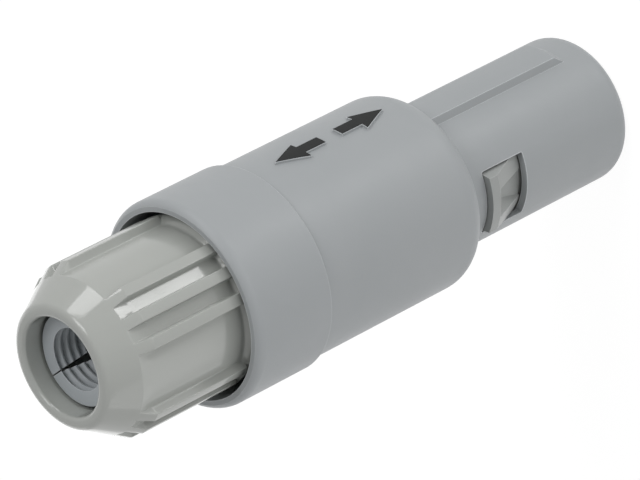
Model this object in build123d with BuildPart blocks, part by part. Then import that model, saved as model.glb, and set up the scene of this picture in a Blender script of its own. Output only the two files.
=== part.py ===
from build123d import *
import os

# Push-pull cable plug, standing on the mouth of its nose.
# All lengths are in millimetres. +Z runs from the mouth towards the cable end, and -Y is the
# side with the key and the two arrows. The latch windows look out to -X and +X.

# Outer shell: nose, grip and collar in one moulding
nose_radius = 5.0
nose_wall = 0.5
mouth_wall = 0.8
nose_length = 15.0
mouth_round_radial = 0.62
mouth_round_axial = 1.0
shoulder_round = 1.6
shoulder_wall = 1.2
grip_radius = 6.7
grip_length = 14.4
collar_radius = 7.0
collar_length = 6.36
collar_wall = 0.7
collar_edge = 0.08
rim_round_radial = 0.36
rim_round_axial = 0.62

# Key along the nose
key_height = 0.5
key_width = 2.7
key_draft = 0.15
key_front = 2.6
key_slope = 0.8
key_root_depth = 0.3

# Latch windows through the nose
window_front = 9.8
window_length = 3.72
window_width = 4.46
window_corner = 0.12

# Arrow pads on the grip
arrow_pad_height = 0.18
arrow_length = 4.06
arrow_head_length = 2.3
arrow_head_width = 1.95
arrow_shaft_width = 0.9
pull_arrow_tip = 27.42
push_arrow_tip = 17.88

# Sliding and seating clearances
sliding_fit = 0.08
seat_gap = 0.1
shell_travel = 1.5

# Latch sleeve
sleeve_radius = 5.2
sleeve_web = 0.8
neck_wall = 0.8
neck_front = 9.2
carrier_seat_wall = 0.9
thread_wall = 0.5
bead_height = 0.25
bead_length = 1.0
bead_slope = 0.25
bead_from_step = 5.8

# Latch fingers
finger_side_gap = 0.13
finger_slot_gap = 0.15
finger_tip_gap = 0.04
finger_lip = 0.4
finger_root_gap = 0.08
finger_root_step = 0.2
tooth_rise = 0.5
tooth_gap = 0.07
tooth_crest = 0.7
tooth_side_draft = 0.15
pocket_front_width = 1.86
pocket_rear_width = 0.86
pocket_depth = 0.22
pocket_draft = 33
pocket_to_crest = 0.85

# Insert: insulator, its two carrier halves and the contacts
insulator_face = 8.0
insulator_radius = 2.8
insulator_flange_radius = 3.5
insulator_flange_length = 1.1
insulator_tail = 0.7
carrier_lip = 0.7
carrier_chamber_radius = 3.4
carrier_split = 0.1
fit_gap = 0.05
contact_radius = 0.25
contact_reach = 3.7
contact_tip_chamfer = 0.12
cup_radius = 0.38
cup_length = 2.8
cup_depth = 2.0
cup_wall = 0.1
contact_fit = 0.02
outer_contacts = 9
outer_contact_circle = 2.2
inner_contacts = 5
inner_contact_circle = 1.0

# Collet
collet_wall = 1.65
collet_bore = 2.1
collet_end_radius = 3.1
collet_end_recess = 1.4
collet_cone_length = 2.9
collet_lead = 1.0
groove_depth = 0.3
groove_width = 0.48
groove_pitch = 0.6
groove_count = 14
slit_turn = 43.4
slit_width = 0.6
slit_end_width = 0.1
slit_taper_length = 3.0
collet_turn_gap = 0.1

# Collet nut
nut_reach = 10.14
nut_insertion = 1.46
spigot_length = 4.7
ring_radius = 5.6
ring_length = 2.0
ring_edge = 0.15
valley_radius = 5.27
valley_fall = 0.4
rib_radius = 5.87
rib_width = 0.77
rib_pitch_angle = 18
rib_groups = 4
ribs_per_group = 3
rib_group_turn = 45
rib_front_offset = 0.85
rib_front_slope = 0.2
cone_length = 3.06
cone_end_radius = 4.06
cone_end_round = 0.55
hole_radius = 3.3
hole_round = 0.42
nut_seat_depth = 1.3

# Places along the axis that follow from the sizes above
grip_end = nose_length + grip_length
shell_length = grip_end + collar_length
nut_face = shell_length - nut_insertion
nut_end = shell_length + nut_reach
sleeve_end = nut_face - seat_gap
collar_floor = sleeve_end - shell_travel - 2 * carrier_lip
shell_step = nose_length + shoulder_wall
sleeve_step = shell_step + shell_travel + seat_gap
carrier_front = sleeve_step + sleeve_web
spigot_front = nut_face - spigot_length
collet_front = spigot_front - collet_lead
collet_end = nut_end - collet_end_recess
carrier_end = collet_front - seat_gap
bead_front = sleeve_step + bead_from_step
bead_rear = bead_front + bead_length
bore_step = neck_front - shell_travel - seat_gap
finger_root = sleeve_step - finger_root_gap - finger_root_step
finger_front = window_front + finger_tip_gap
tooth_rear = window_front + window_length - tooth_gap
tooth_front = tooth_rear - tooth_crest
flange_front = carrier_front + seat_gap + carrier_lip
flange_rear = flange_front + insulator_flange_length
insulator_rear = flange_rear + carrier_lip + insulator_tail

# Radii that follow from the sizes above
nose_bore = nose_radius - nose_wall
mouth_bore = nose_radius - mouth_wall
shell_bore = sleeve_radius + sliding_fit
collar_bore = collar_radius - collar_wall
neck_radius = nose_bore - sliding_fit
neck_bore = neck_radius - neck_wall
bead_radius = sleeve_radius + bead_height
carrier_seat = sleeve_radius - carrier_seat_wall
carrier_radius = carrier_seat - fit_gap
thread_bore = sleeve_radius - thread_wall
spigot_radius = thread_bore - fit_gap
collet_radius = collet_bore + collet_wall
spigot_bore = collet_radius + collet_turn_gap
key_radius = nose_radius + key_height
crest_radius = nose_radius + tooth_rise
pocket_floor = neck_radius - pocket_depth


def arrow_outline(tip, way):
    """Corners of an arrow on the grip, as (across, along), with its tip towards way * Z."""
    barb = tip - way * arrow_head_length
    tail = tip - way * arrow_length
    shaft = arrow_shaft_width / 2
    head = arrow_head_width / 2
    return [
        (0, tip),
        (head, barb),
        (shaft, barb),
        (shaft, tail),
        (-shaft, tail),
        (-shaft, barb),
        (-head, barb),
    ]


# Key: a drafted bar with a sloped front end
with BuildPart() as key:
    key_root = nose_radius - key_root_depth
    key_foot = nose_radius - 2 * key_root_depth
    key_rear = nose_length + shoulder_round / 2
    with BuildSketch(Plane.XZ):
        with BuildLine():
            Polyline(
                (key_root, key_front),
                (nose_radius, key_front),
                (key_radius, key_front + key_slope),
                (key_radius, key_rear),
                (key_root, key_rear),
                close=True,
            )
        make_face()
    revolve()
    with BuildSketch(Plane.XY.offset(key_front)):
        with BuildLine():
            Polyline(
                (-key_width / 2 - key_draft, -key_foot),
                (key_width / 2 + key_draft, -key_foot),
                (key_width / 2 - key_draft, -key_radius),
                (-key_width / 2 + key_draft, -key_radius),
                close=True,
            )
        make_face()
    extrude(amount=key_rear - key_front, mode=Mode.INTERSECT)

# Arrow pads: raised about the thickness of a label above the grip
with BuildPart() as arrow_pads:
    pad_root = grip_radius - arrow_head_width / 4
    pad_top = grip_radius + arrow_pad_height
    with BuildSketch(Plane.XZ.offset(pad_root)):
        for arrow_tip, arrow_way in ((pull_arrow_tip, 1), (push_arrow_tip, -1)):
            with BuildLine():
                Polyline(*arrow_outline(arrow_tip, arrow_way), close=True)
            make_face()
    extrude(amount=pad_top)
    with BuildSketch(Plane.XY.offset(nose_length)):
        Circle(pad_top)
    extrude(amount=grip_length, mode=Mode.INTERSECT)

# Outer shell: hollow turned form, with the key, the arrow pads and the two latch windows
with BuildPart() as outer_shell:
    lip_radius = nose_radius - mouth_round_radial
    groove_front = bead_front - shell_travel - seat_gap
    groove_rear = bead_rear + seat_gap
    groove_radius = bead_radius + 2 * sliding_fit
    with BuildSketch(Plane.XZ):
        with BuildLine():
            mouth = TangentArc((nose_radius, mouth_round_axial), (lip_radius, 0), tangent=(0, -1))
            shoulder = CenterArc(
                (grip_radius - shoulder_round, nose_length + shoulder_round),
                shoulder_round,
                start_angle=270,
                arc_size=90,
            )
            rim = TangentArc(
                (collar_radius, shell_length - rim_round_axial),
                (collar_radius - rim_round_radial, shell_length),
                tangent=(0, 1),
            )
            Polyline(mouth @ 0, (nose_radius, nose_length), shoulder @ 0)
            Polyline(
                shoulder @ 1,
                (grip_radius, grip_end),
                (collar_radius - collar_edge, grip_end),
                (collar_radius, grip_end + collar_edge),
                rim @ 0,
            )
            Polyline(
                rim @ 1,
                (collar_bore, shell_length),
                (collar_bore, collar_floor),
                (shell_bore, collar_floor),
                (shell_bore, groove_rear),
                (groove_radius, groove_rear),
                (groove_radius, groove_front),
                (shell_bore, groove_front),
                (shell_bore, shell_step),
                (nose_bore, shell_step),
                (nose_bore, bore_step),
                (mouth_bore, bore_step),
                (mouth_bore, 0),
                mouth @ 1,
            )
        make_face()
    revolve()
    add(key.part)
    add(arrow_pads.part)
    with BuildSketch(Plane.YZ):
        with Locations((0, window_front + window_length / 2)):
            RectangleRounded(window_width, window_length, window_corner)
    extrude(amount=collar_radius, both=True, mode=Mode.SUBTRACT)
outer_shell.part.label = "outer_shell"

# Latch sleeve: neck inside the nose, body inside the grip, snap bead and two finger slots
finger_width = window_width - 2 * finger_side_gap
with BuildPart() as latch_sleeve:
    with BuildSketch(Plane.XZ):
        with BuildLine():
            Polyline(
                (neck_bore, neck_front),
                (neck_radius, neck_front),
                (neck_radius, sleeve_step),
                (sleeve_radius, sleeve_step),
                (sleeve_radius, bead_front),
                (bead_radius, bead_front + bead_slope),
                (bead_radius, bead_rear),
                (sleeve_radius, bead_rear),
                (sleeve_radius, sleeve_end),
                (thread_bore, sleeve_end),
                (thread_bore, carrier_end),
                (carrier_seat, carrier_end),
                (carrier_seat, carrier_front),
                (neck_bore, carrier_front),
                close=True,
            )
        make_face()
    revolve()
    slot_length = finger_root + finger_root_gap - neck_front
    with BuildSketch(Plane.YZ):
        with Locations((0, neck_front + slot_length / 2)):
            Rectangle(finger_width + 2 * finger_slot_gap, slot_length)
    extrude(amount=sleeve_radius, both=True, mode=Mode.SUBTRACT)
latch_sleeve.part.label = "latch_sleeve"

# Latch finger on the +X side: a springy strip whose tooth stands proud of the nose in the window,
# with a ramp towards the mouth and a pocket that is open at the finger's tip
with BuildPart() as latch_finger_right:
    half_width = finger_width / 2
    with BuildSketch(Plane.XZ):
        with BuildLine():
            Polyline(
                (neck_bore, finger_front - finger_lip),
                (pocket_floor, finger_front - finger_lip),
                (pocket_floor, finger_front),
                (neck_radius, finger_front),
                (crest_radius, tooth_front),
                (crest_radius, tooth_rear),
                (neck_radius, tooth_rear),
                (neck_radius, finger_root),
                (neck_bore, finger_root),
                close=True,
            )
        make_face()
    revolve()
    with BuildSketch(Plane.XY.offset(finger_front - finger_lip)):
        with BuildLine():
            Polyline(
                (neck_bore / 2, -half_width),
                (pocket_floor, -half_width),
                (crest_radius, tooth_side_draft - half_width),
                (crest_radius, half_width - tooth_side_draft),
                (pocket_floor, half_width),
                (neck_bore / 2, half_width),
                close=True,
            )
        make_face()
    extrude(amount=finger_root - finger_front + finger_lip, mode=Mode.INTERSECT)
    pocket_rear = tooth_front - pocket_to_crest
    with BuildSketch(Plane.YZ.offset(pocket_floor)):
        with BuildLine():
            Polyline(
                (-pocket_front_width / 2, finger_front),
                (pocket_front_width / 2, finger_front),
                (pocket_rear_width / 2, pocket_rear),
                (-pocket_rear_width / 2, pocket_rear),
                close=True,
            )
        make_face()
    extrude(amount=crest_radius - pocket_floor, taper=-pocket_draft, mode=Mode.SUBTRACT)
latch_finger_right.part.label = "latch_finger_right"

# Latch finger on the -X side: the same moulded form, turned half round
with BuildPart() as latch_finger_left:
    add(latch_finger_right.part, rotation=(0, 0, 180))
latch_finger_left.part.label = "latch_finger_left"

# Insulator: barrel with a flange and a hole for each contact
contact_places = [
    *PolarLocations(outer_contact_circle, outer_contacts, start_angle=90, rotate=False),
    *PolarLocations(inner_contact_circle, inner_contacts, start_angle=90, rotate=False),
]
with BuildPart() as insulator:
    with BuildSketch(Plane.XZ):
        with BuildLine():
            Polyline(
                (0, insulator_face),
                (insulator_radius, insulator_face),
                (insulator_radius, flange_front),
                (insulator_flange_radius, flange_front),
                (insulator_flange_radius, flange_rear),
                (insulator_radius, flange_rear),
                (insulator_radius, insulator_rear),
                (0, insulator_rear),
                close=True,
            )
        make_face()
    revolve()
    with BuildSketch(Plane.XY.offset(insulator_face)):
        with Locations(*contact_places):
            Circle(contact_radius + contact_fit)
    extrude(amount=insulator_rear - insulator_face, mode=Mode.SUBTRACT)
insulator.part.label = "insulator"

# Contact: pin through the insulator, stopped by the shoulder of its solder cup
with BuildPart() as contact:
    pin_tip = insulator_face - contact_reach
    cup_end = insulator_rear + cup_length
    cup_floor = cup_end - cup_depth
    with BuildSketch(Plane.XZ):
        with BuildLine():
            Polyline(
                (0, pin_tip),
                (contact_radius - contact_tip_chamfer, pin_tip),
                (contact_radius, pin_tip + 2 * contact_tip_chamfer),
                (contact_radius, insulator_rear),
                (cup_radius, insulator_rear),
                (cup_radius, cup_end),
                (cup_radius - cup_wall, cup_end),
                (cup_radius - cup_wall, cup_floor),
                (0, cup_floor),
                close=True,
            )
        make_face()
    revolve()

# Insert carrier halves: they close round the insulator's flange inside the sleeve
with BuildPart() as insert_carrier_right:
    lip_radius = insulator_radius + fit_gap
    flange_seat = insulator_flange_radius + fit_gap
    carrier_start = carrier_front + seat_gap
    with BuildSketch(Plane.XZ):
        with BuildLine():
            Polyline(
                (lip_radius, carrier_start),
                (carrier_radius, carrier_start),
                (carrier_radius, carrier_end),
                (carrier_chamber_radius, carrier_end),
                (carrier_chamber_radius, flange_rear + fit_gap + carrier_lip),
                (lip_radius, flange_rear + fit_gap + carrier_lip),
                (lip_radius, flange_rear + fit_gap),
                (flange_seat, flange_rear + fit_gap),
                (flange_seat, flange_front - fit_gap),
                (lip_radius, flange_front - fit_gap),
                close=True,
            )
        make_face()
    revolve()
    split(bisect_by=Plane.YZ.offset(carrier_split / 2), keep=Keep.TOP)
insert_carrier_right.part.label = "insert_carrier_right"

with BuildPart() as insert_carrier_left:
    add(insert_carrier_right.part, rotation=(0, 0, 180))
insert_carrier_left.part.label = "insert_carrier_left"

# Collet: cone at the cable end, grooved bore and one slit from end to end
with BuildPart() as collet:
    with BuildSketch(Plane.XZ):
        with BuildLine():
            Polyline(
                (collet_bore, collet_front),
                (collet_radius, collet_front),
                (collet_radius, collet_end - collet_cone_length),
                (collet_end_radius, collet_end),
                (collet_bore, collet_end),
                close=True,
            )
        make_face()
        for groove in range(groove_count):
            groove_middle = collet_end - groove_pitch * (groove + 0.5)
            with BuildLine():
                Polyline(
                    (collet_bore, groove_middle - groove_width / 2),
                    (collet_bore + groove_depth, groove_middle),
                    (collet_bore, groove_middle + groove_width / 2),
                    close=True,
                )
            make_face(mode=Mode.SUBTRACT)
    revolve()
    slit_side = Plane.XY.rotated((0, 0, slit_turn)).x_dir
    with BuildSketch(Plane(origin=(0, 0, 0), x_dir=(-slit_side.Y, slit_side.X, 0), z_dir=slit_side)):
        with BuildLine():
            Polyline(
                (-slit_width / 2, collet_front),
                (slit_width / 2, collet_front),
                (slit_width / 2, collet_end - slit_taper_length),
                (slit_end_width / 2, collet_end),
                (-slit_end_width / 2, collet_end),
                (-slit_width / 2, collet_end - slit_taper_length),
                close=True,
            )
        make_face()
    extrude(amount=2 * collet_radius, mode=Mode.SUBTRACT)
collet.part.label = "collet"

# Ribs of the collet nut: groups of parallel-sided ribs, cut off by the nut's cone at the rear
cone_start = nut_end - cone_length
cone_fall = (rib_radius - cone_end_radius) / cone_length
rib_front = nut_face + rib_front_offset
rib_root = valley_radius - rib_width / 4
with BuildPart() as nut_ribs:
    with BuildSketch(Plane.XZ):
        with BuildLine():
            Polyline(
                (rib_root, rib_front),
                (ring_radius, rib_front),
                (rib_radius, rib_front + rib_front_slope),
                (rib_radius, cone_start),
                (rib_root, cone_start + (rib_radius - rib_root) / cone_fall),
                close=True,
            )
        make_face()
    revolve()
    first_rib = rib_group_turn - rib_pitch_angle * (ribs_per_group - 1) / 2
    with BuildSketch(Plane.XY.offset(rib_front)):
        for rib in range(ribs_per_group):
            with PolarLocations(valley_radius, rib_groups, start_angle=first_rib + rib * rib_pitch_angle):
                Rectangle(2 * (rib_radius - rib_root), rib_width)
    extrude(amount=nut_end - rib_front, mode=Mode.INTERSECT)

# Collet nut: spigot inside the sleeve, ring, valley floor with ribs and rear cone
with BuildPart() as collet_nut:
    ring_end = nut_face + ring_length
    seat_end = nut_end - nut_seat_depth
    with BuildSketch(Plane.XZ) as nut_profile:
        with BuildLine():
            Polyline(
                (spigot_bore, spigot_front),
                (spigot_radius, spigot_front),
                (spigot_radius, nut_face),
                (ring_radius - ring_edge, nut_face),
                (ring_radius, nut_face + ring_edge),
                (ring_radius, ring_end),
                (valley_radius, ring_end + valley_fall),
                (valley_radius, cone_start + (rib_radius - valley_radius) / cone_fall),
                (cone_end_radius, nut_end),
                (hole_radius, nut_end),
                (hole_radius, seat_end),
                (spigot_bore, seat_end - collet_cone_length),
                close=True,
            )
        make_face()
        outer_corner = nut_profile.vertices().sort_by_distance((cone_end_radius, nut_end))[0]
        fillet(outer_corner, cone_end_round)
        hole_corner = nut_profile.vertices().sort_by_distance((hole_radius, nut_end))[0]
        fillet(hole_corner, hole_round)
    revolve()
    add(nut_ribs.part)
collet_nut.part.label = "collet_nut"

# One STEP file for each piece
os.makedirs("parts", exist_ok=True)
export_step(outer_shell.part, "parts/outer_shell.step")
export_step(latch_sleeve.part, "parts/latch_sleeve.step")
export_step(latch_finger_right.part, "parts/latch_finger_right.step")
export_step(latch_finger_left.part, "parts/latch_finger_left.step")
export_step(insulator.part, "parts/insulator.step")
export_step(insert_carrier_right.part, "parts/insert_carrier_right.step")
export_step(insert_carrier_left.part, "parts/insert_carrier_left.step")
export_step(collet.part, "parts/collet.step")
export_step(collet_nut.part, "parts/collet_nut.step")
for number, place in enumerate(contact_places, start=1):
    placed_contact = contact.part.moved(place)
    placed_contact.label = f"contact_{number:02d}"
    export_step(placed_contact, f"parts/contact_{number:02d}.step")
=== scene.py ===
# %% [markdown]
# # A push-pull cable plug in grey plastic
#
# The plug's shapes come ready made from the CAD model, in metres and already in place. This lesson
# gives each of them the finish of the real one, builds the nut once more with its finer forms, prints
# the two arrows on the grip, and then sets up a floor, soft lamps and a camera, as a small product
# studio has them.

# %% Load the measured parts
import math

import bmesh
import bpy
from mathutils import Matrix, Vector


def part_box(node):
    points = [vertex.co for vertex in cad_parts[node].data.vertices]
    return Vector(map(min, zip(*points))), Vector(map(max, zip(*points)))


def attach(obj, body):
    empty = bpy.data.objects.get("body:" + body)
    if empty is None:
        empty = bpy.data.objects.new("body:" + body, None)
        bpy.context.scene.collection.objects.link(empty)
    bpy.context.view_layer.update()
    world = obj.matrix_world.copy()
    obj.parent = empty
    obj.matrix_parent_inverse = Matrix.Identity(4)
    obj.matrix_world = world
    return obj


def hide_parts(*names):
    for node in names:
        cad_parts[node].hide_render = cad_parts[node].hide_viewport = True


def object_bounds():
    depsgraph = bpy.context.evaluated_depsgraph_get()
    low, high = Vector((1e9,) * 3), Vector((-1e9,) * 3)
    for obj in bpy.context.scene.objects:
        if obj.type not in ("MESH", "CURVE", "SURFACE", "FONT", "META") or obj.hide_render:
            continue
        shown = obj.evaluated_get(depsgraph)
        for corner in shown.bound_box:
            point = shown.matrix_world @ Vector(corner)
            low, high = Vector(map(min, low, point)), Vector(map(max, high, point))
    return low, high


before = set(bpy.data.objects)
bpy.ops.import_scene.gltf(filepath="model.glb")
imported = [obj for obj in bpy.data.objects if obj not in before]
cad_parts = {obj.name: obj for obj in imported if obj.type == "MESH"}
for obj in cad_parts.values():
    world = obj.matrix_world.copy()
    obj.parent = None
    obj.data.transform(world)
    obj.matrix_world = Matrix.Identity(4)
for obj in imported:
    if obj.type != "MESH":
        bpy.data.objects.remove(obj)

MM = 0.001
cad_low, cad_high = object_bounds()
cad_size = [round(side / MM, 2) for side in cad_high - cad_low]
print(len(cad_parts), "CAD pieces, together", cad_size, "mm")

# %% [markdown]
# ## Colours as they are written
#
# A hex colour is stored for screens, while a renderer adds up light. One function turns the written
# value into linear light, so that every colour in this lesson can be read like paint on a chart.
# With the Standard view, a surface in plain light then shows about the colour that is written.


# %% Turn a hex colour into linear light
def colour(hex_code):
    """Red, green, blue and alpha in linear light, from a colour such as "#9A9EA0"."""
    levels = [int(hex_code[i : i + 2], 16) / 255 for i in (1, 3, 5)]
    linear = [v / 12.92 if v <= 0.04045 else ((v + 0.055) / 1.055) ** 2.4 for v in levels]
    return (*linear, 1.0)


bpy.context.scene.view_settings.view_transform = "Standard"
print("mid grey #808080 is", round(colour("#808080")[0], 3), "in linear light")

# %% [markdown]
# ## A small helper for shader nodes
#
# A material is a graph: each node has settings and sockets, and the sockets hold a number or a link.
# One helper adds any node, sets its settings, and fills its sockets with either of the two. Another
# says how often a pattern repeats in a metre, from its real size in millimetres. A Mix node has
# sockets for numbers, for vectors and for colours, and the three values name the ones for colours.

# %% Add one node with its settings and links
COLOUR_A, COLOUR_B, COLOUR_RESULT = 6, 7, 2


def add_node(graph, kind, sockets=None, **settings):
    """Add a node of that kind. A socket gets a number, a colour, or another node's output."""
    node = graph.nodes.new(kind)
    for setting, value in settings.items():
        setattr(node, setting, value)
    for socket, value in (sockets or {}).items():
        if isinstance(value, bpy.types.NodeSocket):
            graph.links.new(value, node.inputs[socket])
        else:
            node.inputs[socket].default_value = value
    return node


def per_metre(size_mm):
    """How many features of that size, in millimetres, fit in a metre."""
    return 1 / (size_mm * MM)


def new_material(name):
    """An empty material and its graph."""
    material = bpy.data.materials.new(name)
    material.use_nodes = True
    material.node_tree.nodes.clear()
    return material, material.node_tree


print("a grain of 0.1 mm repeats", round(per_metre(0.1)), "times in a metre")

# %% [markdown]
# ## Edges that catch the light
#
# The raised and outer edges of a moulded grey plastic show as thin pale lines: no mould is perfectly
# sharp, and the small round catches the lamps. That highlight is painted into the colour here, as a
# pale tone. The edges could be rounded in the mesh, but so small a round costs many faces. Here the
# material finds them. The Bevel node gives the direction in which a rounded edge would face, and where
# that differs from the face's own direction, an edge is near. Inner corners look the same to it, so a
# second question, how open the spot is, leaves them out.

# %% Find the outer edges, where a highlight is painted
edge_starts, edge_is_full = 0.99, 0.85  # cosines of a turn by about 8 and 32 degrees
closed_spot, open_spot = 0.6, 0.85
open_reach_mm = 0.12


def edge_highlight_mask(graph, edge_mm):
    """Where the edge highlight is painted: 1 near outer edges and 0 elsewhere, for edges edge_mm wide."""
    rounded = add_node(graph, "ShaderNodeBevel", {"Radius": 2 * edge_mm * MM}, samples=8)
    face = add_node(graph, "ShaderNodeNewGeometry")
    alike = add_node(graph, "ShaderNodeVectorMath", {
        0: rounded.outputs["Normal"], 1: face.outputs["Normal"],
    }, operation="DOT_PRODUCT")
    at_edge = add_node(graph, "ShaderNodeMapRange", {
        "Value": alike.outputs["Value"], "From Min": edge_starts, "From Max": edge_is_full,
    })
    open_air = add_node(graph, "ShaderNodeAmbientOcclusion", {
        "Distance": open_reach_mm * MM,
    }, samples=8, only_local=True)
    outside = add_node(graph, "ShaderNodeMapRange", {
        "Value": open_air.outputs["AO"], "From Min": closed_spot, "From Max": open_spot,
    })
    both = add_node(graph, "ShaderNodeMath", {
        0: at_edge.outputs["Result"], 1: outside.outputs["Result"],
    }, operation="MULTIPLY")
    return both.outputs["Value"]


print("an edge begins where the surface turns by", round(math.degrees(math.acos(edge_starts))), "degrees")

# %% [markdown]
# ## Moulded plastic
#
# All the grey pieces are injection moulded from a hard thermoplastic, dyed through. The eye reads
# that from three things. The tone drifts a little where the melt flowed together. The steel of the
# mould leaves its own fine texture, from spark erosion on satin faces and from polishing on glossy
# ones. And each edge is a little round, so it catches the lamps; that highlight is painted on as a
# pale tone. One function builds such a finish, and each moulding then only says how it differs: its
# tones, its gloss, its grain and its edges, with the tone of their painted highlight.

# %% Build the finish of a moulded plastic
flow_mm, handling_mm, wave_mm = 9.0, 2.6, 4.5
gloss_drift = 0.035


def moulded_plastic(name, tones, roughness, grain_mm, grain_depth_mm, wave_depth_mm, edge_mm):
    """Dyed plastic with flow marks, mould grain, sink waves and painted edge highlights. tones: plain, flow
    mark, painted edge highlight.
    """
    material, graph = new_material(name)
    plain_tone, flow_tone, edge_highlight_tone = (colour(tone) for tone in tones)
    place = add_node(graph, "ShaderNodeTexCoord").outputs["Object"]
    flow = add_node(graph, "ShaderNodeTexNoise", {
        "Vector": place, "Scale": per_metre(flow_mm), "Detail": 3.0, "Roughness": 0.55, "Distortion": 0.6,
    })
    flowed = add_node(graph, "ShaderNodeMix", {
        0: flow.outputs["Fac"], COLOUR_A: plain_tone, COLOUR_B: flow_tone,
    }, data_type="RGBA")
    # Painted highlight: outer edges get a paler tone that stands in for the light their rounds catch.
    edge_highlighted = add_node(graph, "ShaderNodeMix", {
        0: edge_highlight_mask(graph, edge_mm), COLOUR_A: flowed.outputs[COLOUR_RESULT], COLOUR_B: edge_highlight_tone,
    }, data_type="RGBA")
    handled = add_node(graph, "ShaderNodeTexNoise", {
        "Vector": place, "Scale": per_metre(handling_mm), "Detail": 4.0, "Roughness": 0.6,
    })
    gloss = add_node(graph, "ShaderNodeMapRange", {
        "Value": handled.outputs["Fac"], "From Min": 0.3, "From Max": 0.7,
        "To Min": roughness - gloss_drift, "To Max": roughness + gloss_drift,
    })
    grain = add_node(graph, "ShaderNodeTexNoise", {
        "Vector": place, "Scale": per_metre(grain_mm), "Detail": 2.0, "Roughness": 0.5,
    })
    wave = add_node(graph, "ShaderNodeTexNoise", {
        "Vector": place, "Scale": per_metre(wave_mm), "Detail": 1.0,
    })
    rounded = add_node(graph, "ShaderNodeBevel", {"Radius": edge_mm * MM}, samples=6)
    waved = add_node(graph, "ShaderNodeBump", {
        "Height": wave.outputs["Fac"], "Distance": wave_depth_mm * MM, "Normal": rounded.outputs["Normal"],
    })
    grained = add_node(graph, "ShaderNodeBump", {
        "Height": grain.outputs["Fac"], "Distance": grain_depth_mm * MM, "Normal": waved.outputs["Normal"],
    })
    shader = add_node(graph, "ShaderNodeBsdfPrincipled", {
        "Base Color": edge_highlighted.outputs[COLOUR_RESULT], "Roughness": gloss.outputs["Result"],
        "Normal": grained.outputs["Normal"], "IOR": 1.5,
    })
    add_node(graph, "ShaderNodeOutputMaterial", {"Surface": shader.outputs["BSDF"]})
    return material


print("flow marks of", flow_mm, "mm, sink waves of", wave_mm, "mm")

# %% [markdown]
# ## The outer shell and the pieces inside it
#
# The shell is polysulfone, moulded in a spark-eroded tool: a satin, slightly bluish mid grey. The
# real grain is some 0.03 mm, too fine to show here, so it is drawn at 0.11 mm. The latch sleeve with
# its fingers is the same plastic in a warmer tone, a little smoother because the teeth have to slide.
# The collet, deep in the nut's hole, is a lighter one.

# %% Satin polysulfone for shell, sleeve, carriers and collet
# The third tone of each finish is the painted edge highlight.
shell_satin = moulded_plastic(
    "polysulfone_spark_eroded_satin", ("#999D9F", "#A0A3A5", "#D6DADC"), roughness=0.47,
    grain_mm=0.11, grain_depth_mm=0.0035, wave_depth_mm=0.004, edge_mm=0.06,
)
sleeve_satin = moulded_plastic(
    "polysulfone_warm_fine_satin", ("#979A98", "#9D9F9E", "#B4B7B5"), roughness=0.38,
    grain_mm=0.09, grain_depth_mm=0.002, wave_depth_mm=0.004, edge_mm=0.05,
)
carrier_satin = moulded_plastic(
    "polysulfone_carrier_satin", ("#8F9394", "#97999A", "#AFB2B3"), roughness=0.45,
    grain_mm=0.11, grain_depth_mm=0.003, wave_depth_mm=0.004, edge_mm=0.05,
)
collet_satin = moulded_plastic(
    "polysulfone_collet_satin", ("#A9AFB3", "#AFB4B7", "#C6CACD"), roughness=0.42,
    grain_mm=0.09, grain_depth_mm=0.0025, wave_depth_mm=0.004, edge_mm=0.05,
)
print("satin finishes:", ", ".join(m.name for m in (shell_satin, sleeve_satin, carrier_satin, collet_satin)))

# %% [markdown]
# ## The collet nut
#
# The nut comes from a polished mould, in a grey with a hint of green next to the shell. Its gloss is
# what sets it apart: it mirrors the soft lamps as pale patches with readable edges. Polished steel
# leaves almost no grain. Only slow sink waves of a few micrometres bend those patches a little.

# %% Glossy polyamide for the nut
# The third tone is the painted edge highlight.
nut_gloss = moulded_plastic(
    "polyamide_polished_gloss", ("#A4A7A3", "#AAACA8", "#C1C3BF"), roughness=0.12,
    grain_mm=0.25, grain_depth_mm=0.0006, wave_depth_mm=0.006, edge_mm=0.04,
)
print("glossy finish:", nut_gloss.name)

# %% [markdown]
# ## The insulator
#
# The insulator is black polyphenylene sulphide with glass fibres: near black, satin, with short pale
# flecks where fibres lie in the skin. One noise pattern gives the flecks, the slight change of gloss
# and the skin's unevenness, because on the real one all three come from the same fibres. A fibre is
# 0.01 mm thick, too fine to show here, so the flecks are drawn at 0.15 mm.

# %% Black glass-filled plastic
insulator_black, graph = new_material("polyphenylene_sulphide_glass_filled")
place = add_node(graph, "ShaderNodeTexCoord").outputs["Object"]
fibres = add_node(graph, "ShaderNodeTexNoise", {"Vector": place, "Scale": per_metre(0.15), "Detail": 3.0})
flecks = add_node(graph, "ShaderNodeMapRange", {
    "Value": fibres.outputs["Fac"], "From Min": 0.55, "From Max": 0.8,
})
tones = add_node(graph, "ShaderNodeMix", {
    0: flecks.outputs["Result"], COLOUR_A: colour("#1B1C1D"), COLOUR_B: colour("#3A3C3D"),
}, data_type="RGBA")
gloss = add_node(graph, "ShaderNodeMapRange", {"Value": fibres.outputs["Fac"], "To Min": 0.36, "To Max": 0.5})
skin = add_node(graph, "ShaderNodeBump", {"Height": fibres.outputs["Fac"], "Distance": 0.002 * MM})
shader = add_node(graph, "ShaderNodeBsdfPrincipled", {
    "Base Color": tones.outputs[COLOUR_RESULT], "Roughness": gloss.outputs["Result"],
    "Normal": skin.outputs["Normal"], "IOR": 1.6,
})
add_node(graph, "ShaderNodeOutputMaterial", {"Surface": shader.outputs["BSDF"]})
print("insulator finish:", insulator_black.name)

# %% [markdown]
# ## The contacts
#
# The contacts are turned brass under hard gold. Turning leaves rings round each pin, and the gold
# follows them. The real ones are about 0.04 mm apart, too fine to show here, so they are drawn about
# 0.25 mm apart. A Wave texture repeats after a tenth of pi, in metres, divided by its scale.

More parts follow.
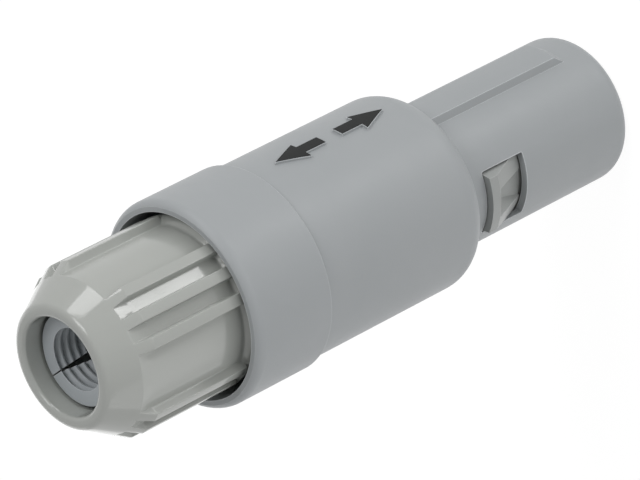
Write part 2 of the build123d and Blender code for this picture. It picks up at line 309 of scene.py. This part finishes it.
# %% Hard gold over turned brass
ring_scale, patina_mm = 1251.21814, 0.6
contact_gold, graph = new_material("gold_over_turned_brass")
place = add_node(graph, "ShaderNodeTexCoord").outputs["Object"]
rings = add_node(graph, "ShaderNodeTexWave", {
    "Vector": place, "Scale": ring_scale, "Distortion": 0.8, "Detail": 1.0,
}, wave_type="BANDS", bands_direction="Z")
patina = add_node(graph, "ShaderNodeTexNoise", {
    "Vector": place, "Scale": per_metre(patina_mm), "Detail": 3.0,
})
tones = add_node(graph, "ShaderNodeMix", {
    0: patina.outputs["Fac"], COLOUR_A: colour("#E2B765"), COLOUR_B: colour("#D3A552"),
}, data_type="RGBA")
gloss = add_node(graph, "ShaderNodeMapRange", {"Value": patina.outputs["Fac"], "To Min": 0.2, "To Max": 0.32})
turned = add_node(graph, "ShaderNodeBump", {"Height": rings.outputs["Fac"], "Distance": 0.0008 * MM})
shader = add_node(graph, "ShaderNodeBsdfPrincipled", {
    "Base Color": tones.outputs[COLOUR_RESULT], "Metallic": 1.0, "Roughness": gloss.outputs["Result"],
    "Normal": turned.outputs["Normal"],
})
add_node(graph, "ShaderNodeOutputMaterial", {"Surface": shader.outputs["BSDF"]})
print(contact_gold.name, "has rings", round(0.1 * math.pi / ring_scale / MM, 2), "mm apart")

# %% [markdown]
# ## Give each moulding its finish
#
# A CAD piece keeps its shape and its place; only what fills its material slots changes. Names that
# begin alike belong to pieces of one finish, so one table covers all of them, and where two
# beginnings fit, the longer one counts.

# %% Assign the finishes
finishes = {
    "outer_shell": shell_satin,
    "latch_": sleeve_satin,
    "insert_carrier": carrier_satin,
    "insulator": insulator_black,
    "contact_": contact_gold,
    "collet": collet_satin,
    "collet_nut": nut_gloss,
}
for node_name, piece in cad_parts.items():
    beginning = max((b for b in finishes if node_name.startswith(b)), key=len)
    for material_slot in piece.material_slots:
        material_slot.material = finishes[beginning]
print("finished", len(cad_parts), "pieces with", len(finishes), "finishes")

# %% [markdown]
# ## The shape of the collet nut
#
# The nut is nearest to the eye, so it is built once more here, near the sizes of its CAD solid, with
# what shows up close: valleys that run down to the flange inside the collar, ribs with blunt front
# ends, and the small round that every moulded edge has. A lathe can't turn ribs. So two lines are
# drawn along the nut, one over the floor of the valleys and one over the crests of the ribs. At each
# level both give a radius, and a closed outline goes round the nut, up and down over every rib.

# %% Sizes of the nut, in millimetres
collar_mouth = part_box("outer_shell")[1].z / MM
nut_front, nut_end = (corner.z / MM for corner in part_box("collet_nut"))
spigot_radius, spigot_bore, spigot_length = 4.65, 3.85, 4.7
flange_radius, flange_chamfer = 5.8, 0.1
valley_radius, crest_radius = 5.27, 5.87
rib_foot_radius, rib_foot_length = 5.62, 0.09
cone_length, cone_end_radius = 3.06, 4.06
hole_radius, seat_depth, seat_cone_length = 3.3, 1.3, 2.9
rib_width, rib_turn, rib_groups, ribs_per_group = 0.77, 18, 4, 3
first_group_turn = 45

nut_face = nut_front + spigot_length
flange_top = collar_mouth - 0.85
valley_start = collar_mouth - 0.4
rib_front = collar_mouth - 0.5
cone_start = nut_end - cone_length
cone_fall = (crest_radius - cone_end_radius) / cone_length
cone_foot = cone_start + (crest_radius - valley_radius) / cone_fall
print("the nut is", round(nut_end - nut_front, 2), "mm long")
print("its ribs end", round(collar_mouth - rib_front, 2), "mm inside the collar")

# %% [markdown]
# ## Lines with rounded corners
#
# A moulded corner has a round, of 0.02 to 0.55 mm on this nut. A bevel modifier would put the same
# round on every edge, and where ribs run into a cone it folds. Here each corner of a drawn line says
# how large its own round is.


# %% Round the corners of a line
def rounded_line(corners, steps=4):
    """Points along corners (along, out, round), with an arc of radius round at each inner corner."""
    line = [Vector(corners[0][:2])]
    for before, corner, after in zip(corners, corners[1:], corners[2:]):
        place, radius = Vector(corner[:2]), corner[2]
        back, ahead = ((Vector(end[:2]) - place).normalized() for end in (before, after))
        half = back.angle(ahead) / 2
        centre = place + (back + ahead).normalized() * radius / math.sin(half)
        start, end = (place + way * radius / math.tan(half) - centre for way in (back, ahead))
        line += [centre + start.lerp(end, step / steps).normalized() * radius for step in range(steps + 1)]
    return line + [Vector(corners[-1][:2])]


def radius_at(line, along):
    """How far out a line is at a place along the nut."""
    for before, after in zip(line, line[1:]):
        if before.x <= along <= after.x and after.x > before.x:
            return before.y + (after.y - before.y) * (along - before.x) / (after.x - before.x)
    return line[-1].y if along > line[-1].x else line[0].y


mouth_length = 0.6
edge_round, valley_round, rib_foot_round, rib_front_round = 0.12, 0.25, 0.03, 0.06
front_edge = (nut_face, flange_radius, 0)
flange_edge = (flange_top, flange_radius, edge_round)
cone_top = (nut_end - mouth_length, cone_end_radius + mouth_length * cone_fall, 0)
floor_line = rounded_line([
    front_edge, flange_edge, (valley_start, valley_radius, valley_round),
    (cone_foot, valley_radius, edge_round), cone_top,
])
crest_line = rounded_line([
    front_edge, flange_edge, (rib_front - rib_foot_length, rib_foot_radius, rib_foot_round),
    (rib_front, crest_radius, rib_front_round), (cone_start, crest_radius, edge_round), cone_top,
])
print("floor line", len(floor_line), "points, crest line", len(crest_line))

# %% [markdown]
# ## The mouth and the bore of the nut
#
# The mouth has no ribs, so one line is enough there: over the rounded end, into the hole, down the
# cone that squeezes the collet, and through the bore to the front of the spigot. Its thread is left
# smooth, because the latch sleeve hides it.

# %% Levels along the nut, as (along, valley radius, crest radius)
heights = sorted({round(point.x, 4) for point in floor_line + crest_line})
levels = []
for along in heights:
    if along > nut_face + flange_chamfer:
        floor_radius = radius_at(floor_line, along)
        levels.append((along, floor_radius, max(radius_at(crest_line, along), floor_radius)))
mouth_line = rounded_line([
    cone_top, (nut_end, cone_end_radius, 0.55),
    (nut_end, hole_radius, 0.28), (nut_end - seat_depth, hole_radius, 0.05),
    (nut_end - seat_depth - seat_cone_length, spigot_bore, 0.3), (nut_front, spigot_bore, 0.1),
    (nut_front, spigot_radius, 0.1), (nut_face, spigot_radius, 0.08),
    (nut_face, flange_radius - flange_chamfer, 0.02), (nut_face + flange_chamfer, flange_radius, 0),
], steps=6)
levels += [(point.x, point.y, point.y) for point in mouth_line[1:]]
print(len(levels), "levels")

# %% [markdown]
# ## Once round the nut
#
# A rib of this nut is a narrow bar with steep sides, a rounded crest and a small fillet at its foot.
# Its section says how much wider than half its crest it is at each share of its height. All outlines
# have the same number of corners, so that any two can be joined by four-sided faces.

# %% One closed outline round the nut
rib_section = ((0.07, 0), (0.02, 0.04), (0, 0.16), (-0.01, 0.9), (-0.025, 0.975), (-0.06, 1))
narrow_steps, wide_steps = 3, 14
wide_turn = 360 / rib_groups - rib_turn * (ribs_per_group - 1)


def nut_outline(floor, crest):
    """Corners (turn, radius) all round the nut, for these radii of valley floor and rib crest."""
    corners = []
    for rib in range(rib_groups * ribs_per_group):
        group, place = divmod(rib, ribs_per_group)
        turn = first_group_turn + group * 360 / rib_groups + (place - (ribs_per_group - 1) / 2) * rib_turn
        halves = [(rib_width / 2 + wider, floor + rise * (crest - floor)) for wider, rise in rib_section]
        corners += [(turn - math.degrees(across / out), out) for across, out in halves]
        corners.append((turn, crest))
        corners += [(turn + math.degrees(across / out), out) for across, out in reversed(halves)]
        last = place == ribs_per_group - 1
        to_next, steps = (wide_turn, wide_steps) if last else (rib_turn, narrow_steps)
        foot = math.degrees(halves[0][0] / floor)
        corners += [(turn + foot + (to_next - 2 * foot) * step / steps, floor) for step in range(1, steps)]
    return corners


print("an outline has", len(nut_outline(valley_radius, crest_radius)), "corners")

# %% [markdown]
# ## The nut as one closed mesh
#
# The last level meets the first one at the front of the flange, so the mesh closes like a ring and
# has no open edge. Plain smooth shading would let the narrow round faces bend the light on the large
# ones beside them. The Weighted Normal modifier lets the large faces lead, so only the rounds look
# round.

# %% Join the levels
nut_corners, nut_faces = [], []
for along, floor_radius, top_radius in levels:
    for turn, out in nut_outline(floor_radius, top_radius):
        across, deep = out * math.cos(math.radians(turn)), out * math.sin(math.radians(turn))
        nut_corners.append(Vector((across, deep, along)) * MM)
round_count = len(nut_corners) // len(levels)
for level in range(len(levels)):
    here = level * round_count
    there = (level + 1) % len(levels) * round_count
    for corner in range(round_count):
        beside = (corner + 1) % round_count
        nut_faces.append((here + corner, here + beside, there + beside, there + corner))
nut_mesh = bpy.data.meshes.new("collet_nut_moulding")
nut_mesh.from_pydata(nut_corners, [], nut_faces)
nut_mesh.shade_smooth()
nut_mesh.materials.append(nut_gloss)
nut_moulding = bpy.data.objects.new("collet_nut_moulding", nut_mesh)
bpy.context.scene.collection.objects.link(nut_moulding)
nut_moulding.modifiers.new("large faces lead the shading", "WEIGHTED_NORMAL").weight = 80
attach(nut_moulding, "nut")
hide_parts("collet_nut")
print(nut_moulding.name, len(nut_faces), "faces")

# %% [markdown]
# ## The two arrows
#
# Two raised pads on the grip show which way to push and to pull. On the real plug a soft stamp puts
# a film of black ink on their tops, so the pads' sides stay grey. The film could be a pattern in the
# shell's material, but a thin piece of its own keeps a crisp outline from any distance. It starts as
# a flat head and a flat shaft, is cut into narrow strips along the plug, gets its thickness, and is
# then wrapped round the grip like a label. At the end its corners and faces are sorted by place, so
# that every run gives the same mesh.

# %% Sizes of the arrows, in millimetres
grip_radius, pad_height = 6.7, 0.18
pad_top = grip_radius + pad_height
ink_gap, ink_thickness = 0.001, 0.012
arrow_length, head_length, head_width, shaft_width = 4.06, 2.3, 1.95, 0.9
pull_tip, push_tip = 27.42, 17.88
ink_inset = 0.02
strip_width = 0.06
sorting_way = Vector((1, 7, 50))
print("the ink stays", ink_inset, "mm inside the edge of the pads")


# %% Wrap an ink film round the grip
def ink_arrow(name, tip, way, film):
    """Black film on an arrow pad, with its tip towards way * Z. It rides on the shell."""
    barb, tail = tip - way * (head_length - ink_inset), tip - way * (arrow_length - ink_inset)
    # The sharper a corner is, the further it moves in when its two edges move in.
    point = tip - way * 2.5 * ink_inset
    shaft, head = shaft_width / 2 - ink_inset, head_width / 2 - 2 * ink_inset
    flat = bmesh.new()
    corners = {
        label: flat.verts.new((x, 0, z)) for label, x, z in (
            ("point", 0, point), ("barb left", -head, barb), ("barb right", head, barb),
            ("neck left", -shaft, barb), ("neck right", shaft, barb),
            ("tail left", -shaft, tail), ("tail right", shaft, tail),
        )
    }
    for loop in (
        ("point", "barb right", "neck right", "neck left", "barb left"),
        ("neck left", "neck right", "tail right", "tail left"),
    ):
        flat.faces.new([corners[label] for label in loop])
    cuts = int(head / strip_width)
    for cut in range(-cuts, cuts + 1):
        everything = flat.verts[:] + flat.edges[:] + flat.faces[:]
        bmesh.ops.bisect_plane(flat, geom=everything, plane_co=(cut * strip_width, 0, 0), plane_no=(1, 0, 0))
    top = bmesh.ops.extrude_face_region(flat, geom=flat.faces[:])["geom"]
    raised = {item for item in top if isinstance(item, bmesh.types.BMVert)}
    for vertex in flat.verts:
        turn, z = vertex.co.x / pad_top, vertex.co.z
        radius = pad_top + ink_gap + (ink_thickness if vertex in raised else 0)
        vertex.co = Vector((radius * math.sin(turn), -radius * math.cos(turn), z)) * MM
    bmesh.ops.recalc_face_normals(flat, faces=flat.faces[:])
    flat.verts.sort(key=lambda vertex: vertex.co.dot(sorting_way))
    flat.faces.sort(key=lambda face: face.calc_center_median().dot(sorting_way))
    mesh = bpy.data.meshes.new(name)
    flat.to_mesh(mesh)
    flat.free()
    piece = bpy.data.objects.new(name, mesh)
    bpy.context.scene.collection.objects.link(piece)
    mesh.materials.append(film)
    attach(piece, "shell")
    return piece


print("each strip turns by", round(math.degrees(strip_width / pad_top), 2), "degrees")

# %% [markdown]
# ## Ink
#
# Pad-printing ink dries to a dull black film. It is a touch thinner in places, where the grey below
# lifts it, and its surface has the fine tooth of the moulded pad under it, drawn at 0.1 mm.

# %% Print the arrows
cover_mm, tooth_mm = 0.5, 0.1
printing_ink, graph = new_material("pad_printed_ink")
place = add_node(graph, "ShaderNodeTexCoord").outputs["Object"]
cover = add_node(graph, "ShaderNodeTexNoise", {"Vector": place, "Scale": per_metre(cover_mm), "Detail": 4.0})
tones = add_node(graph, "ShaderNodeMix", {
    0: cover.outputs["Fac"], COLOUR_A: colour("#151616"), COLOUR_B: colour("#1C1E1E"),
}, data_type="RGBA")
tooth = add_node(graph, "ShaderNodeTexNoise", {"Vector": place, "Scale": per_metre(tooth_mm), "Detail": 2.0})
toothed = add_node(graph, "ShaderNodeBump", {"Height": tooth.outputs["Fac"], "Distance": 0.003 * MM})
gloss = add_node(graph, "ShaderNodeMapRange", {"Value": cover.outputs["Fac"], "To Min": 0.6, "To Max": 0.75})
shader = add_node(graph, "ShaderNodeBsdfPrincipled", {
    "Base Color": tones.outputs[COLOUR_RESULT], "Roughness": gloss.outputs["Result"],
    "Normal": toothed.outputs["Normal"], "IOR": 1.36,
})
add_node(graph, "ShaderNodeOutputMaterial", {"Surface": shader.outputs["BSDF"]})
for name, tip, way in (("arrow_ink_pull", pull_tip, 1), ("arrow_ink_push", push_tip, -1)):
    arrow = ink_arrow(name, tip, way, printing_ink)
    print(arrow.name, len(arrow.data.polygons), "faces")

# %% [markdown]
# ## The floor
#
# The plug stands on its mouth on a pale board. Seen by the camera, board and surroundings are white,
# as on a shop photograph, but the plug is not lit harder for that. A helper tells the rays that show
# a surface, from the camera, from mirrors and through glass, from those that only carry light. The
# first meet white, and the others the plain board. A share of the board's own shading stays in, so
# the plug keeps its shadow. Mirrors leave the board out, so the glossy nut shows the even white of the
# room. Some lamps hang lower than the board, so it lets their light pass.


# %% Lay the floor
def seen_rays(graph):
    """A factor that is 1 for rays from the camera, from mirrors and through glass, else 0."""
    rays = add_node(graph, "ShaderNodeLightPath")
    seen = add_node(graph, "ShaderNodeMath", {
        0: rays.outputs["Is Camera Ray"], 1: rays.outputs["Is Glossy Ray"],
    }, operation="ADD")
    seen = add_node(graph, "ShaderNodeMath", {
        0: seen.outputs["Value"], 1: rays.outputs["Is Transmission Ray"],
    }, operation="ADD")
    return seen.outputs["Value"]


board, graph = new_material("white_card_board")
share = add_node(graph, "ShaderNodeMath", {0: seen_rays(graph), 1: 0.8}, operation="MULTIPLY")
card = add_node(graph, "ShaderNodeBsdfDiffuse", {"Color": colour("#EDEDED")})
white = add_node(graph, "ShaderNodeEmission", {"Color": colour("#FFFFFF"), "Strength": 1.15})
mixed = add_node(graph, "ShaderNodeMixShader", {
    0: share.outputs["Value"], 1: card.outputs["BSDF"], 2: white.outputs["Emission"],
})
add_node(graph, "ShaderNodeOutputMaterial", {"Surface": mixed.outputs["Shader"]})

floor_half = 3.0
floor_drop = 0.01 * MM
floor_mesh = bpy.data.meshes.new("floor")
floor_mesh.from_pydata(
    [(x * floor_half, y * floor_half, -floor_drop) for x, y in ((-1, -1), (1, -1), (1, 1), (-1, 1))],
    [], [(0, 1, 2, 3)],
)
floor_mesh.materials.append(board)
floor = bpy.data.objects.new("floor", floor_mesh)
bpy.context.scene.collection.objects.link(floor)
floor.visible_shadow = False
floor.visible_glossy = False
print("floor is", 2 * floor_half, "m wide")

# %% [markdown]
# ## The light of the room
#
# A photographer's light tent glows softly from all sides. Here the world does that: two fifths of
# full white for the light that falls on the plug, and full white for what is seen or mirrored.

# %% Light the room
room = bpy.data.worlds.new("white_room")
room.use_nodes = True
room.node_tree.nodes.clear()
bpy.context.scene.world = room
graph = room.node_tree
soft = add_node(graph, "ShaderNodeBackground", {"Color": colour("#FFFFFF"), "Strength": 0.40})
white = add_node(graph, "ShaderNodeBackground", {"Color": colour("#FFFFFF"), "Strength": 1.0})
mixed = add_node(graph, "ShaderNodeMixShader", {
    0: seen_rays(graph), 1: soft.outputs["Background"], 2: white.outputs["Background"],
})
add_node(graph, "ShaderNodeOutputWorld", {"Surface": mixed.outputs["Shader"]})
print("room light", round(soft.inputs["Strength"].default_value, 2))

# %% [markdown]
# ## Soft lamps
#
# Two small soft boxes hang over the side with the arrows. They are what the glossy nut mirrors, one
# on its cone and one between two ribs, so the size of those two pale patches gives their size. The
# overhead one lights what is the top of the barrel in the picture. The table bounce lights what points
# down there, as the white table under a lying plug does. One broad fill comes from the camera's side,
# and the other keeps the far side from going dull. A lamp's power grows with the square of its
# distance, so it is worked out here from how bright it should make a white card that faces it.


# %% Hang the soft boxes
def soft_box(name, direction, distance, width, height, card_level):
    """A rectangular lamp that looks at the middle of the plug. card_level is the share of white."""
    middle = (cad_low + cad_high) / 2
    lamp = bpy.data.lights.new(name, "AREA")
    lamp.shape = "RECTANGLE"
    lamp.size, lamp.size_y = width, height
    lamp.energy = card_level * (math.pi * distance) ** 2
    holder = bpy.data.objects.new(name, lamp)
    holder.location = middle + Vector(direction).normalized() * distance
    holder.rotation_mode = "QUATERNION"
    holder.rotation_quaternion = (holder.location - middle).to_track_quat("Z", "Y")
    holder.visible_camera = False
    bpy.context.scene.collection.objects.link(holder)
    return holder


lamps = [
    soft_box("soft_box_left", (0.28, -0.92, 0.28), 0.6, 0.26, 0.14, 0.16),
    soft_box("soft_box_right", (-0.29, -0.76, -0.58), 0.6, 0.08, 0.28, 0.14),
    soft_box("overhead", (0.05, -0.67, 0.74), 0.6, 0.25, 0.25, 0.25),
    soft_box("table_bounce", (-0.81, 0.50, -0.16), 0.8, 1.0, 0.8, 0.32),
    soft_box("fill_front", (-0.77, -0.62, -0.05), 0.8, 0.6, 0.6, 0.21),
    soft_box("fill_back", (0.77, 0.63, -0.10), 0.8, 0.8, 0.8, 0.20),
]
print("lamps:", ", ".join(lamp.name for lamp in lamps))

# %% [markdown]
# ## The camera
#
# The plug in the photograph is seen from about 37 degrees above its mouth's plane, with a long lens,
# and the camera is rolled so that the plug lies across the frame. A camera's matrix holds its own
# right, up and back directions, so the roll is just a turn of the first two about the third.

# %% Aim the camera
aim = Vector((0.5925, 0.8249, 23.0)) * MM
distance = 373.559 * MM
azimuth, elevation, roll = (math.radians(angle) for angle in (-50.6, 37.1, 117.094))
back = Vector((
    math.sin(azimuth) * math.cos(elevation), -math.cos(azimuth) * math.cos(elevation), math.sin(elevation),
))
level_right = Vector((math.cos(azimuth), math.sin(azimuth), 0))
level_up = back.cross(level_right)
right = math.cos(roll) * level_right - math.sin(roll) * level_up
up = math.cos(roll) * level_up + math.sin(roll) * level_right

lens = bpy.data.cameras.new("camera")
lens.sensor_width = 36.0
lens.lens = 331.329
lens.clip_start, lens.clip_end = 0.01, 10.0
camera = bpy.data.objects.new("camera", lens)
bpy.context.scene.collection.objects.link(camera)
facing = Matrix((right, up, back)).transposed().to_4x4()
camera.matrix_world = Matrix.Translation(aim + back * distance) @ facing
bpy.context.scene.camera = camera
print("camera at", [round(c / MM, 1) for c in camera.location], "mm, lens", round(lens.lens, 1), "mm")
